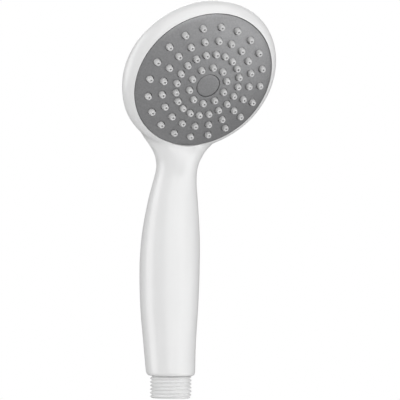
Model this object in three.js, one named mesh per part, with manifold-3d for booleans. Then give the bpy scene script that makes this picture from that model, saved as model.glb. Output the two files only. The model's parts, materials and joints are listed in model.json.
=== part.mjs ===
// Handheld shower head: one white moulded handset with an 80 mm spray head, a grey spray face
// with rub-clean nozzles, and a G1/2 inlet that holds a strainer, a flow regulator and a check valve.
// Millimetres. The origin is the centre of the inlet's end face, +Z runs up the inlet's axis
// into the handle, and the spray face looks towards -Y and down.
import * as THREE from "three";
import { mergeVertices } from "three/addons/utils/BufferGeometryUtils.js";
import Module from "manifold-3d";

const wasm = await Module();
wasm.setup();

// ---- Driving dimensions -------------------------------------------------------------------

const GAP = 0.3; // between pieces that rest on each other
const ROUND = 24; // facets round a turned piece of the handle
const HEAD_ROUND = 40; // facets round the head
const SMALL_ROUND = 20; // facets round the small pieces inside

// Head, in its own frame: +Z is the way the spray leaves, zero at the middle of the spray face.
const FACE_TILT = THREE.MathUtils.degToRad(32.5); // spray direction below the horizontal
const FACE_CENTRE = new THREE.Vector3(0, -38.3, 154.2);
const FACE_CURVE = 125; // radius of the domed spray face
const HEAD_R = 40.8;
const RIM_Z = -11.3; // level of the head's widest ring
const CAVITY_R = 36.8;
const LEDGE_Z = -13.2; // floor under the clamp plate's rim
const LEDGE_R = 34.4;
const BACK_CURVE = 82.4; // radius of the head's back
const BACK_Z = -24.7;
const WALL = 2.6;
const LIP = { z: -5.6, outer: [38.5, -6.2], rise: 2.7 }; // rounded edge from the opening to the rim
const RIM_ROUND = 4; // radius behind the widest ring
const RIM_TURN = THREE.MathUtils.degToRad(62); // how far it turns before the back takes over
const BOSS = { r: 4.4, top: -8.5, bore: 1.7 };
const GUSSET = { long: 22, thick: 1.6, high: 7 };
const HUB = { r: 7.2, foot: -5.6 }; // the spray face's middle, which the screw clamps

// Nozzle rings: radius and number of nozzles.
const RINGS = [
  [9.85, 10],
  [16.7, 20],
  [23.45, 20],
  [30.2, 20],
];
const NOZZLE = { root: 1.65, tip: 1.1, bore: 0.5, proud: 2.1, sides: 6 };
const PLATE = { r: 36.5, thick: 2, hole: 1.95 };
const MAT = { r: 33.4, thick: 1.4 };
const CLAMP = { r: 36.5, thick: 2, inner: 33.7, grooveLow: -11.6, grooveHigh: -9.4, groove: 1.9 };
const FACE_SEAL = { inset: 0.85, section: 0.95, z: -10.5 };
const FEED = { count: 20, wide: 1.9, high: 14, z: -8 }; // water slots through the clamp plate
const CAP = { r: 5.9, thick: 1.4, gap: 0.35, seat: -1.9, skirt: 4, skirtBore: 3.2, skirtFoot: -1.75 };
const SCREW = { top: -2, head: 3.6, crown: 2.4, headHigh: 1.6, shank: 1.5, point: 0.7, length: 15 };
const SCREW_CROSS = [3.4, 0.8, 1.8];
const SCREW_WELL = { r: 4.1, floor: -4.3, hole: 2.2 }; // clearance round the screw
const WASHER = { inner: 2.05, outer: 3.6, low: -4.05, high: -3.65 };

// Stations up the handle: height, half width, half depth, and how far back the middle sits.
// The last ones flare out into the head's rim.
const HANDLE = [
  [12.4, 12.35, 12.35, 0.4],
  [28, 13.35, 13.0, 1.9],
  [46, 14.8, 13.9, 2.7],
  [66, 15.4, 14.3, 2.7],
  [82, 14.85, 13.6, 1.8],
  [98, 13.05, 11.8, -0.1],
  [110, 11.3, 10.3, -2.3],
  [117, 11.2, 9.7, -4.8],
  [124, 14.9, 9.2, -6.2],
  [130, 20.5, 6.6, -6.4],
  [134, 24.5, 4, -8.2],
  [139, 25, 1.8, -11],
];
// The low hump that covers the waterway up the back of the head.
const HUMP = [
  [112, 10, 9.7, -2.9],
  [120, 11.4, 9.9, -4.9],
  [127, 14.6, 9.4, -5],
  [134, 16.4, 7.4, -5.3],
  [142, 14, 5.2, -7.6],
  [152, 7, 2, -12.6],
];
// The handle's rounded lower end, as radius and height.
const FOOT = [
  [0, 10.4],
  [10.7, 10.4],
  [11.8, 11.1],
  [12.35, 12.4],
  [0, 12.4],
];

// Inlet connector and what stands in it, by height above the end face.
const THREAD = { r: 10.4, depth: 1.05, pitch: 1.814, top: 9.4, fade: 1.1 }; // G1/2
const SOCKET_R = 9.8; // the handle's bore round the connector
const COLLAR = { r: 9.5, foot: 10.9 };
const CONNECTOR_TOP = 39;
const SEAL_LEVELS = [32, 36]; // O-rings round the connector
const SEAL_GROOVE = { floor: 8.1, half: 1 };
const SEAL = { middle: 8.9, section: 0.75 };
const THROAT_BORE_R = 8.6; // handle's bore above the connector
const BORES = [
  [8.1, 3],
  [7.75, 12],
  [7.4, 28],
]; // radius and top of each step, from the inlet up
const THROAT_R = 5;
const TUBE = { out: 6, bore: 4.7, foot: 30.6, head: 119.5, lean: 2.6 };
const TUBE_LEAN = THREE.MathUtils.degToRad(TUBE.lean);
const SEAL_BORE = 7.5; // counterbore for a seal round the tube
const FLANGE = { r: 7.2, thick: 1.2 }; // rings on the tube that hold its seals
const TUBE_SEAL = { outside: 0.75, section: 0.65 };
const HOLLOW = [41, 104]; // the handle's hollow, from the connector to the neck
const NECK_SEAL = 112; // height of the seal seat in the neck
const PASSAGE_R = 3.9; // waterway that bends from the neck into the head
const PASSAGE = [
  [-3.9, 116],
  [-2.7, 125],
  [-2.4, 131],
  [-5.6, 138],
  [-13, 142],
]; // its middle line, as how far back and how high

const SCREEN = { r: 7.4, low: 1.45, high: 1.75, pitch: 2, window: 1.4, reach: 5.6, cells: 3 };
const STRAINER_RING = [
  [6.5, 0.6],
  [7.8, 0.6],
  [7.8, 2.7],
  [6.5, 2.7],
  [6.5, 2],
  [7.6, 2],
  [7.6, 1.2],
  [6.5, 1.2],
];
const REGULATOR = { r: 7.4, inner: 6, foot: 4.8, floor: 10.2, top: 11.4, core: 2.9, coreFoot: 5.2 };
const REGULATOR_RIB = { long: 6.6, thick: 0.7, high: 5, z: 7.8 };
const REGULATOR_CAP = { foot: 3.4, top: 4.4 };
const REGULATOR_RING = { middle: 4.65, section: 0.95, z: 8.6 };
const INLETS = { count: 8, r: 0.8, out: 4.6 }; // holes in the regulator's cap
const OUTLETS = { count: 6, r: 0.9, out: 4.4 }; // holes in the regulator's floor

// Check valve. Heights of its moving pieces are above the housing's foot.
const VALVE = { foot: 12.3, top: 27.6, r: 7.1, bore: 5.9, seat: 4.2, floor: 1.4 };
const VALVE_GROOVE = { r: 6.45, low: 2.4, high: 3.6 };
const VALVE_O_RING = { middle: 6.95, section: 0.38, z: 3 };
const VALVE_SEAL = { inner: 1.6, outer: 5.2, low: 1.45, high: 2.25 };
const POPPET = { disc: 4.7, cone: 2, low: 2.35, edge: 0.8, high: 1.6, stem: 1.3, top: 13.6 };
const RETAINER = { r: 2.6, low: 0.4, high: 1.2 }; // holds the seal on the poppet
const SPRING = { r: 2.3, wire: 0.28, low: 4.5, high: 10.1, turns: 4.5 };
const CAGE = { outer: 5.6, inner: 4.7, low: 10.7, high: 13.3 };
const CAGE_HUB = { r: 3, low: 10.6, high: 12.7, bore: 1.6 };
const CAGE_SPOKE = { long: 5, wide: 1.2, high: 1.6, out: 3.2, z: 11.9 };

// ---- Materials ----------------------------------------------------------------------------

const material = (color, roughness, metalness = 0) =>
  new THREE.MeshStandardMaterial({ color, roughness, metalness });
const WHITE = material(0xf0f0f0, 0.28);
const GREY = material(0x8c8c8c, 0.5);
const SILICONE = material(0xc9c9c9, 0.55);
const INNER_WHITE = material(0xe4e6e8, 0.45);
const INNER_BLUE = material(0x3d6fa8, 0.45);
const RUBBER = material(0x222222, 0.7);
const STEEL = material(0xb8bcc0, 0.3, 1);

// ---- Solids -------------------------------------------------------------------------------

// A closed geometry as a manifold-3d solid with its faces pointing out.
function solid(geometry, matrix = new THREE.Matrix4()) {
  const plain = (geometry.index ? geometry.toNonIndexed() : geometry.clone()).applyMatrix4(matrix);
  plain.deleteAttribute("normal");
  plain.deleteAttribute("uv");
  const merged = mergeVertices(plain, 1e-4);
  const corners = [];
  for (let i = 0; i < merged.index.count; i += 3) {
    const [a, b, c] = [0, 1, 2].map((k) => merged.index.getX(i + k));
    if (a !== b && b !== c && a !== c) corners.push(a, b, c);
  }
  const vertProperties = merged.attributes.position.array;
  const build = (list) => {
    const mesh = new wasm.Mesh({ numProp: 3, vertProperties, triVerts: new Uint32Array(list) });
    return new wasm.Manifold(mesh);
  };
  const made = build(corners);
  return made.volume() < 0 ? build(corners.reverse()) : made;
}

const joined = (first, ...others) => others.reduce((whole, s) => whole.add(s), first);
const cut = (first, ...others) => others.reduce((whole, s) => whole.subtract(s), first);

function geometryOf(made) {
  const mesh = made.getMesh();
  const geometry = new THREE.BufferGeometry();
  geometry.setAttribute("position", new THREE.BufferAttribute(new Float32Array(mesh.vertProperties), 3));
  geometry.setIndex(new THREE.BufferAttribute(new Uint32Array(mesh.triVerts), 1));
  geometry.computeVertexNormals();
  return geometry;
}

// A profile of [radius, height] corners turned about +Z.
function turned(profile, facets = ROUND) {
  const closed = profile[0][0] > 0 ? [...profile, profile[0]] : profile;
  const points = closed.map(([r, z]) => new THREE.Vector2(r, z));
  return new THREE.LatheGeometry(points, facets).rotateX(Math.PI / 2);
}

const ring = (inner, outer, low, high, facets = ROUND) =>
  solid(turned([[inner, low], [outer, low], [outer, high], [inner, high]], facets));
const rod = (r, low, high, facets = ROUND) =>
  solid(turned([[0, low], [r, low], [r, high], [0, high]], facets));
const block = (x, y, z, at = [0, 0, 0], turn = 0) =>
  solid(
    new THREE.BoxGeometry(x, y, z),
    new THREE.Matrix4().makeRotationZ(turn).multiply(new THREE.Matrix4().makeTranslation(...at)),
  );

// Copies made round +Z, each from its angle.
const around = (count, make, first = 0) =>
  Array.from({ length: count }, (_, i) => make(first + (2 * Math.PI * i) / count, i));

// An O-ring of a round section about +Z.
function oRing(middle, section, height, facets = SMALL_ROUND) {
  const corners = around(5, (a) => [middle + section * Math.cos(a), height + section * Math.sin(a)]);
  return solid(turned(corners, facets));
}

// ---- Frames -------------------------------------------------------------------------------

const headFrame = new THREE.Group();
headFrame.position.copy(FACE_CENTRE);
headFrame.rotation.x = Math.PI / 2 + FACE_TILT;
headFrame.updateMatrix();

// The waterway leans forward from the connector's axis towards the neck.
const tubeFrame = new THREE.Group();
tubeFrame.position.z = TUBE.foot;
tubeFrame.rotation.x = TUBE_LEAN;
tubeFrame.updateMatrix();

const inHead = (made) => made.transform(headFrame.matrix.elements);
const inTube = (made) => made.transform(tubeFrame.matrix.elements);
const alongTube = (z) => z - TUBE.foot;

// ---- Handset body -------------------------------------------------------------------------

// A turned form whose rings are flattened and moved to follow the stations, less an inset.
function loft(stations, inset = 0) {
  const column = (k) => new THREE.SplineCurve(stations.map((s) => new THREE.Vector2(s[0], s[k])));
  const [widths, depths, middles] = [1, 2, 3].map(column);
  const steps = 2 * (stations.length - 1);
  const rings = Array.from({ length: steps + 1 }, (_, i) => {
    const t = i / steps;
    const { x: z, y: width } = widths.getPoint(t);
    return { z, width, depth: depths.getPoint(t).y, middle: middles.getPoint(t).y };
  });
  const geometry = turned([[0, rings[0].z], ...rings.map((s) => [1, s.z]), [0, rings.at(-1).z]]);
  const position = geometry.attributes.position;
  for (let i = 0; i < position.count; i++) {
    const z = position.getZ(i);
    const at = rings.reduce((best, one) => (Math.abs(one.z - z) < Math.abs(best.z - z) ? one : best));
    position.setX(i, position.getX(i) * (at.width - inset));
    position.setY(i, position.getY(i) * (at.depth - inset) + at.middle);
  }
  return solid(geometry);
}

// The head's domed back, or a wall inside it, from an angle to its middle.
const backCurve = (r, from) =>
  new THREE.EllipseCurve(0, BACK_Z + BACK_CURVE, r, r, from, -Math.PI / 2, true);

// Half of the head's outline from the lip of the opening, over the rim, to the middle of the back.
function headProfile() {
  const lip = new THREE.CubicBezierCurve(
    new THREE.Vector2(CAVITY_R, LIP.z),
    new THREE.Vector2(...LIP.outer),
    new THREE.Vector2(HEAD_R, RIM_Z + LIP.rise),
    new THREE.Vector2(HEAD_R, RIM_Z),
  );
  const middle = HEAD_R - RIM_ROUND;
  const round = new THREE.EllipseCurve(middle, RIM_Z, RIM_ROUND, RIM_ROUND, 0, -RIM_TURN, true);
  const back = backCurve(BACK_CURVE, -RIM_TURN);
  const points = [...lip.getPoints(4), ...round.getPoints(2).slice(1), ...back.getPoints(5).slice(1)];
  return points.map((p) => [Math.max(p.x, 0), p.y]);
}

function handsetBody() {
  const outline = headProfile();
  const dish = solid(turned([[0, outline[0][1]], ...outline], HEAD_ROUND));
  const outside = joined(inHead(dish), loft(HANDLE), loft(HUMP), solid(turned(FOOT)));
  const socket = joined(
    rod(SOCKET_R, 0, CONNECTOR_TOP + GAP),
    rod(THROAT_BORE_R, CONNECTOR_TOP, HOLLOW[0] + 2),
  );
  const seat = joined(
    rod(TUBE.out + GAP, alongTube(HOLLOW[1] - 2), alongTube(TUBE.head + GAP)),
    rod(SEAL_BORE, alongTube(HOLLOW[1] - 2), alongTube(NECK_SEAL + 1.6)),
  );
  const hollow = loft(HANDLE, WALL).intersect(rod(HEAD_R, ...HOLLOW));
  const voids = [inHead(headChamber()), socket, hollow, inTube(seat), neckPassage()];
  const shell = cut(outside, ...voids);
  const pilot = rod(BOSS.bore, BACK_Z + WALL + 1.4, 0, 12);
  return cut(joined(shell, inHead(screwPost())), inHead(pilot));
}

// The seat for the spray face and the water chamber behind it.
function headChamber() {
  const r = BACK_CURVE - WALL;
  const from = -Math.PI / 2 + Math.asin(LEDGE_R / r);
  const inner = backCurve(r, from)
    .getPoints(4)
    .map((p) => [Math.max(p.x, 0), p.y]);
  const profile = [[0, 12], [CAVITY_R, 12], [CAVITY_R, LEDGE_Z], [LEDGE_R, LEDGE_Z], ...inner];
  return solid(turned(profile, HEAD_ROUND));
}

// The post the screw bites into, and the two gussets that stiffen it.
function screwPost() {
  const { long, thick, high } = GUSSET;
  const gussets = [0, 1].map((i) =>
    block(long, thick, high, [0, 0, BACK_Z + WALL - 1.5 + high / 2], (i * Math.PI) / 2),
  );
  return joined(rod(BOSS.r, BACK_Z + 1, BOSS.top, 16), ...gussets);
}

// The bent waterway above the tube.
function neckPassage() {
  const path = new THREE.CatmullRomCurve3(PASSAGE.map(([y, z]) => new THREE.Vector3(0, y, z)));
  const round = new THREE.Shape();
  round.absarc(0, 0, PASSAGE_R, 0, 2 * Math.PI);
  const options = { extrudePath: path, steps: 10, curveSegments: 14, bevelEnabled: false };
  return solid(new THREE.ExtrudeGeometry(round, options));
}

// ---- Spray face ---------------------------------------------------------------------------

// Radii of the dome's creases, which fall between the rings of nozzles.
const DOME_STEPS = [13.3, 27];
const domeZ = (r, drop) => FACE_CURVE * (Math.sqrt(1 - (r / FACE_CURVE) ** 2) - 1) - drop;

// A domed disc from a low to a high face, out to radius r, with a hole in the middle.
function domedDisc(hole, r, top, bottom, facets = HEAD_ROUND) {
  const radii = [hole, ...DOME_STEPS.filter((q) => q > hole && q < r), r];
  const upper = radii.map((q) => [q, domeZ(q, top)]);
  const lower = radii.map((q) => [q, domeZ(q, bottom)]).reverse();
  return solid(turned([...upper, ...lower], facets).rotateZ(Math.PI / facets));
}

// Every nozzle's place on the face. A nozzle of each ring lies on the line towards the handle.
const nozzlePlaces = RINGS.flatMap(([r, count]) =>
  around(count, (a) => ({ r, x: r * Math.cos(a), y: r * Math.sin(a) }), -Math.PI / 2),
);

const pillar = (tip, root, low, high, sides, { x, y }) =>
  solid(
    new THREE.CylinderGeometry(tip, root, high - low, sides).rotateX(Math.PI / 2),
    new THREE.Matrix4().makeTranslation(x, y, (low + high) / 2),
  );

function facePlate() {
  const shell = domedDisc(0, PLATE.r, 0, PLATE.thick);
  const hub = rod(HUB.r, HUB.foot, -1);
  const holes = nozzlePlaces.map((p) => pillar(PLATE.hole, PLATE.hole, -12, 2, NOZZLE.sides, p));
  const recess = joined(
    rod(CAP.r + CAP.gap, CAP.seat, 2),
    rod(SCREW_WELL.r, SCREW_WELL.floor, 2, 16),
    rod(SCREW_WELL.hole, -8, 2, 12),
  );
  return cut(joined(shell, hub), wasm.Manifold.union(holes), recess);
}

function nozzleMat() {
  const top = PLATE.thick + GAP;
  const sheet = domedDisc(HUB.r + GAP, MAT.r, top, top + MAT.thick, SMALL_ROUND);
  const { tip, root, proud, sides } = NOZZLE;
  const nozzles = nozzlePlaces.map((p) =>
    pillar(tip, root, domeZ(p.r, top + MAT.thick / 2), domeZ(p.r, -proud), sides, p),
  );
  const bores = nozzlePlaces.map((p) => pillar(NOZZLE.bore, NOZZLE.bore, -13, 4, 4, p));
  return cut(joined(sheet, wasm.Manifold.union(nozzles)), wasm.Manifold.union(bores));
}

function clampPlate() {
  const top = PLATE.thick + MAT.thick + 2 * GAP;
  const disc = domedDisc(0, CLAMP.inner + 0.5, top, top + CLAMP.thick, SMALL_ROUND);
  const hub = rod(HUB.r, BOSS.top + GAP, HUB.foot - GAP);
  const rimTop = domeZ(PLATE.r, PLATE.thick + GAP);
  const rim = ring(CLAMP.inner, CLAMP.r, LEDGE_Z + GAP, rimTop, HEAD_ROUND);
  const groove = ring(CLAMP.r - CLAMP.groove, CLAMP.r + 1, CLAMP.grooveLow, CLAMP.grooveHigh, HEAD_ROUND);
  const well = rod(HUB.r + GAP, HUB.foot - GAP, 2);
  const hole = rod(SCREW_WELL.hole, BOSS.top - 3, 0, 12);
  return cut(joined(disc, hub, rim), groove, well, hole, ...feedSlots());
}

// One radial slot behind each row of nozzles. Every second one reaches in to the inner ring.
function feedSlots() {
  const [inner, second, , outer] = RINGS.map(([r]) => r);
  return around(FEED.count, (turn, i) => {
    const from = (i % 2 ? second : inner) - 1;
    const length = outer + 1 - from;
    return block(length, FEED.wide, FEED.high, [from + length / 2, 0, FEED.z], turn);
  });
}

const faceSeal = () => oRing(CLAMP.r - FACE_SEAL.inset, FACE_SEAL.section, FACE_SEAL.z, HEAD_ROUND);

const screwCap = () =>
  joined(
    domedDisc(0, CAP.r, 0, CAP.thick, ROUND),
    ring(CAP.skirtBore, CAP.skirt, CAP.skirtFoot, -1, 16),
  );

function faceScrew() {
  const { top, head, crown, headHigh, shank, point, length } = SCREW;
  const foot = top - headHigh;
  const tip = foot - length;
  const cap = [[0, foot], [head, foot], [head, foot + 0.7], [crown, top], [0, top]];
  const stem = [[0, tip], [point, tip], [shank, tip + 1.6], [shank, foot + 0.1], [0, foot + 0.1]];
  const cross = [0, Math.PI / 2].map((turn) => block(...SCREW_CROSS, [0, 0, top - 0.2], turn));
  return cut(joined(solid(turned(cap, 16)), solid(turned(stem, 12))), ...cross);
}

const screwWasher = () => ring(WASHER.inner, WASHER.outer, WASHER.low, WASHER.high, 16);

// ---- Inlet connector ----------------------------------------------------------------------

// A spigot whose skin carries a helical thread of rounded ridges.
function threadedSpigot() {
  const { r, depth, pitch, top, fade } = THREAD;
  const facets = 20;
  const perPitch = 4;
  const rows = Math.round((top / pitch) * perPitch);
  const heights = Array.from({ length: rows + 1 }, (_, i) => (top * i) / rows);
  const geometry = turned([[0, 0], ...heights.map((z) => [r, z]), [0, top]], facets);
  const position = geometry.attributes.position;
  for (let i = 0; i < position.count; i++) {
    const [x, y, z] = [position.getX(i), position.getY(i), position.getZ(i)];
    if (Math.hypot(x, y) < 1) continue;
    const turns = z / pitch - Math.atan2(y, x) / (2 * Math.PI);
    const ridge = 0.5 + 0.5 * Math.cos(2 * Math.PI * turns);
    const height = ridge * Math.min(1, z / fade, (top - z) / fade);
    const scale = 1 - (depth * (1 - height)) / r;
    position.setX(i, x * scale);
    position.setY(i, y * scale);
  }
  return solid(geometry);
}

function inletConnector() {
  const spigot = joined(
    threadedSpigot(),
    rod(THREAD.r - THREAD.depth, THREAD.top - 0.1, COLLAR.foot + 0.1),
    rod(COLLAR.r, COLLAR.foot, CONNECTOR_TOP),
  );
  const { floor, half } = SEAL_GROOVE;
  const grooves = SEAL_LEVELS.map((z) => ring(floor, THREAD.r, z - half, z + half));
  const steps = BORES.map(([r, top], i) => rod(r, i ? BORES[i - 1][1] - 0.1 : -1, top));
  const throat = rod(THROAT_R, VALVE.foot, TUBE.foot + 1);
  const socket = joined(
    rod(TUBE.out + GAP, -0.4, 12),
    rod(SEAL_BORE, alongTube(CONNECTOR_TOP - 2), alongTube(CONNECTOR_TOP + 2)),
  );
  return cut(spigot, ...grooves, ...steps, throat, inTube(socket));
}

const connectorSeal = (height) => oRing(SEAL.middle, SEAL.section, height, ROUND);

function waterwayTube() {
  const flange = alongTube(CONNECTOR_TOP + 0.5);
  const stop = alongTube(NECK_SEAL - 2.4);
  const flanges = [flange, stop].map((z) => rod(FLANGE.r, z, z + FLANGE.thick, SMALL_ROUND));
  const pipe = rod(TUBE.out, GAP, alongTube(TUBE.head), SMALL_ROUND);
  return cut(joined(pipe, ...flanges), rod(TUBE.bore, -1, alongTube(TUBE.head + 1), SMALL_ROUND));
}

const tubeSeal = (height) =>
  oRing(TUBE.out + TUBE_SEAL.outside, TUBE_SEAL.section, alongTube(height), SMALL_ROUND);

// ---- Strainer and flow regulator ----------------------------------------------------------

function strainerScreen() {
  const { r, low, high, pitch, window, reach, cells } = SCREEN;
  const steps = Array.from({ length: 2 * cells + 1 }, (_, i) => (i - cells) * pitch);
  const windows = steps
    .flatMap((x) => steps.map((y) => [x, y]))
    .filter(([x, y]) => Math.hypot(x, y) < reach)
    .map(([x, y]) => block(window, window, 2, [x, y, (low + high) / 2]));
  return cut(rod(r, low, high), wasm.Manifold.union(windows));
}

const strainerRing = () => solid(turned(STRAINER_RING));

// Round holes through a disc between two levels.
const holesRound = ({ count, r, out }, low, high, first = 0) =>
  around(count, (a) => pillar(r, r, low, high, 8, { x: out * Math.cos(a), y: out * Math.sin(a) }), first);

function regulatorCap() {
  const { foot, top } = REGULATOR_CAP;
  return cut(rod(REGULATOR.r, foot, top, SMALL_ROUND), ...holesRound(INLETS, foot - 1, top + 1));
}

function regulatorBody() {
  const { r, inner, foot, floor, top, core, coreFoot } = REGULATOR;
  const cup = joined(ring(inner, r, foot, top, SMALL_ROUND), rod(r, floor, top, SMALL_ROUND));
  const rib = REGULATOR_RIB;
  const ribs = [0, 1, 2, 3].map((i) =>
    block(rib.long, rib.thick, rib.high, [0, 0, rib.z], (i * Math.PI) / 4),
  );
  const outlets = holesRound(OUTLETS, floor - 1.2, top + 1.6, Math.PI / OUTLETS.count);
  return cut(joined(cup, rod(core, coreFoot, floor + 0.1, 16), ...ribs), ...outlets);
}

const regulatorRing = () =>
  oRing(REGULATOR_RING.middle, REGULATOR_RING.section, REGULATOR_RING.z, SMALL_ROUND);

// ---- Check valve --------------------------------------------------------------------------

function valveHousing() {
  const { foot, top, r, bore, seat, floor } = VALVE;
  const { low, high } = VALVE_GROOVE;
  const ledge = foot + floor;
  const profile = [[seat, foot], [r, foot], [r, top], [bore, top], [bore, ledge], [seat, ledge]];
  const groove = ring(VALVE_GROOVE.r, r + 1, foot + low, foot + high, SMALL_ROUND);
  return cut(solid(turned(profile, SMALL_ROUND)), groove);
}

const valveHousingSeal = () =>
  oRing(VALVE_O_RING.middle, VALVE_O_RING.section, VALVE.foot + VALVE_O_RING.z);

function valveSeal() {
  const { inner, outer, low, high } = VALVE_SEAL;
  return ring(inner, outer, VALVE.foot + low, VALVE.foot + high, SMALL_ROUND);
}

function valvePoppet() {
  const { disc, cone, low, edge, high, stem, top } = POPPET;
  const floor = VALVE.foot + low;
  const plug = [[0, floor], [disc, floor], [disc, floor + edge], [cone, floor + high], [0, floor + high]];
  return joined(
    solid(turned(plug, SMALL_ROUND)),
    rod(stem, VALVE.foot + RETAINER.low, VALVE.foot + top, 12),
    rod(RETAINER.r, VALVE.foot + RETAINER.low, VALVE.foot + RETAINER.high, 16),
  );
}

function valveCage() {
  const { outer, inner, low, high } = CAGE;
  const { r, bore } = CAGE_HUB;
  const spoke = CAGE_SPOKE;
  const at = [spoke.out, 0, VALVE.foot + spoke.z];
  const spokes = around(3, (turn) => block(spoke.long, spoke.wide, spoke.high, at, turn));
  const rim = ring(inner, outer, VALVE.foot + low, VALVE.foot + high, SMALL_ROUND);
  const middle = rod(r, VALVE.foot + CAGE_HUB.low, VALVE.foot + CAGE_HUB.high, 16);
  return cut(joined(rim, middle, ...spokes), rod(bore, VALVE.foot, VALVE.top + 1, 12));
}

class Helix extends THREE.Curve {
  constructor(r, low, high, turns) {
    super();
    Object.assign(this, { r, low, high, turns });
  }
  getPoint(t, target = new THREE.Vector3()) {
    const a = 2 * Math.PI * this.turns * t;
    return target.set(this.r * Math.cos(a), this.r * Math.sin(a), this.low + (this.high - this.low) * t);
  }
}

function valveSpring() {
  const { r, wire, low, high, turns } = SPRING;
  const corners = around(5, (a) => new THREE.Vector2(wire * Math.cos(a), wire * Math.sin(a)));
  const extrudePath = new Helix(r, VALVE.foot + low, VALVE.foot + high, turns);
  const options = { extrudePath, steps: Math.round(turns * 10), bevelEnabled: false };
  return solid(new THREE.ExtrudeGeometry(new THREE.Shape(corners), options));
}

// ---- Assembly -----------------------------------------------------------------------------

const handset = new THREE.Group();
handset.add(headFrame, tubeFrame);

function place(parent, name, made, finish) {
  const mesh = new THREE.Mesh(geometryOf(made), finish);
  mesh.name = name;
  parent.add(mesh);
}

place(handset, "handset_body", handsetBody(), WHITE);

place(headFrame, "face_plate", facePlate(), GREY);
place(headFrame, "nozzle_mat", nozzleMat(), SILICONE);
place(headFrame, "clamp_plate", clampPlate(), INNER_WHITE);
place(headFrame, "face_seal", faceSeal(), RUBBER);
place(headFrame, "face_screw", faceScrew(), STEEL);
place(headFrame, "screw_washer", screwWasher(), RUBBER);
place(headFrame, "screw_cap", screwCap(), GREY);

place(handset, "inlet_connector", inletConnector(), WHITE);
place(handset, "connector_o_ring_lower", connectorSeal(SEAL_LEVELS[0]), RUBBER);
place(handset, "connector_o_ring_upper", connectorSeal(SEAL_LEVELS[1]), RUBBER);
place(tubeFrame, "waterway_tube", waterwayTube(), INNER_WHITE);
place(tubeFrame, "tube_o_ring_lower", tubeSeal(CONNECTOR_TOP - 1), RUBBER);
place(tubeFrame, "tube_o_ring_upper", tubeSeal(NECK_SEAL + 0.2), RUBBER);

place(handset, "strainer_screen", strainerScreen(), STEEL);
place(handset, "strainer_ring", strainerRing(), INNER_BLUE);
place(handset, "regulator_cap", regulatorCap(), INNER_WHITE);
place(handset, "regulator_body", regulatorBody(), INNER_BLUE);
place(handset, "regulator_ring", regulatorRing(), RUBBER);

place(handset, "check_valve_housing", valveHousing(), INNER_WHITE);
place(handset, "check_valve_o_ring", valveHousingSeal(), RUBBER);
place(handset, "check_valve_seal", valveSeal(), RUBBER);
place(handset, "check_valve_poppet", valvePoppet(), INNER_BLUE);
place(handset, "check_valve_spring", valveSpring(), STEEL);
place(handset, "check_valve_cage", valveCage(), INNER_WHITE);

export default handset;
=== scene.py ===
"""Handheld shower head: the smooth moulded pieces, their finishes, and the studio round them.

Metres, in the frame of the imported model: the origin is the centre of the inlet's end face, +Z runs
up the inlet's axis into the handle, and the spray face looks towards -Y and down.
"""

import json
import math

import bmesh
import bpy
from bpy.props import FloatProperty, FloatVectorProperty, IntProperty, PointerProperty
from mathutils import Matrix, Vector


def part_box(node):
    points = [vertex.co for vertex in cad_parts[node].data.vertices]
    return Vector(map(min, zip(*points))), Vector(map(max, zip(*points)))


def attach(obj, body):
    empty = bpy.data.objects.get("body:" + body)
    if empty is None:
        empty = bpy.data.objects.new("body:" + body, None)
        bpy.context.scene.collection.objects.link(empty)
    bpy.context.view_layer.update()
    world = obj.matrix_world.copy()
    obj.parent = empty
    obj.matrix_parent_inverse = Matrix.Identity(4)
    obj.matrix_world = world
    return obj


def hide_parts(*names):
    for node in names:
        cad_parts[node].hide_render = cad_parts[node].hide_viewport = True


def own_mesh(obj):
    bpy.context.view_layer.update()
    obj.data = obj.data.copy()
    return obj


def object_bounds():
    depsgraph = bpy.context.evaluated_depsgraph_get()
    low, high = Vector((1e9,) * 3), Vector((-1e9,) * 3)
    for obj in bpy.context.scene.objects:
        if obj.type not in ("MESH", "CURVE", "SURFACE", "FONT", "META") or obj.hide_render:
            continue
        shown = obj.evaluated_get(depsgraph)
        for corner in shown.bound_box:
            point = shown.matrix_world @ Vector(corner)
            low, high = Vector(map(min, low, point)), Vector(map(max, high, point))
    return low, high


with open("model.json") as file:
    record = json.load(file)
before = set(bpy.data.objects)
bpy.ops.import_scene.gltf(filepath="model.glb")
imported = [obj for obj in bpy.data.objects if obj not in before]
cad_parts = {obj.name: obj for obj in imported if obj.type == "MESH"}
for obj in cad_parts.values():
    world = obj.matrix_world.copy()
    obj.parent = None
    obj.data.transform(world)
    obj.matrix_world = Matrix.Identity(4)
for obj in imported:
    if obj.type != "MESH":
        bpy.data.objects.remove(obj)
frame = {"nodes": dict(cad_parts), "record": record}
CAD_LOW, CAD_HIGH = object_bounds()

bl_info = {
    "name": "Handheld shower head",
    "version": (1, 0, 0),
    "blender": (4, 5, 0),
    "location": "3D View > Sidebar > Shower",
    "description": "Models a handheld shower head and its finishes",
    "category": "Mesh",
}

MM = 0.001
FIXED = "handset"  # the body that the handset's own pieces ride on


# ---- Sizes and colours --------------------------------------------------------------------


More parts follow.
